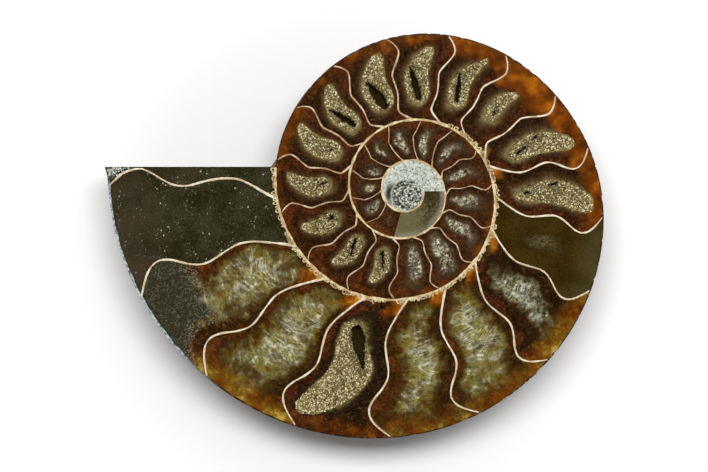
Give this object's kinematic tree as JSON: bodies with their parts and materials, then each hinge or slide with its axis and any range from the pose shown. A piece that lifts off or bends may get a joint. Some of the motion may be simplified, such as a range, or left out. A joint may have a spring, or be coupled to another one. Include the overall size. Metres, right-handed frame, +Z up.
{
  "type": "ammonite fossil half",
  "caption": "Sawn and polished half of a coiled fossil shell, with chamber walls, mineral fillings and crystal-lined hollows in its flat face.",
  "frame": {"origin": "bottom centre of the bounding box, on the surface the fossil lies on", "axes": "+Z up, out of the polished face; +X along the longest extent, away from the saw-cut mouth; +Y across, towards the small side of the coil"},
  "size_m": [0.1103, 0.0896, 0.0135],
  "materials": {
    "polished_stone": "polished",
    "calcite_crystals": "rough crystals"
  },
  "bodies": {
    "root": {"ammonite_half": "polished_stone", "crystal_lining_01": "calcite_crystals", "crystal_lining_02": "calcite_crystals", "crystal_lining_03": "calcite_crystals", "crystal_lining_04": "calcite_crystals", "crystal_lining_05": "calcite_crystals", "crystal_lining_06": "calcite_crystals", "crystal_lining_07": "calcite_crystals", "crystal_lining_08": "calcite_crystals", "crystal_lining_09": "calcite_crystals", "crystal_lining_10": "calcite_crystals", "crystal_lining_11": "calcite_crystals", "crystal_lining_12": "calcite_crystals", "crystal_lining_13": "calcite_crystals"}
  },
  "joints": []
}
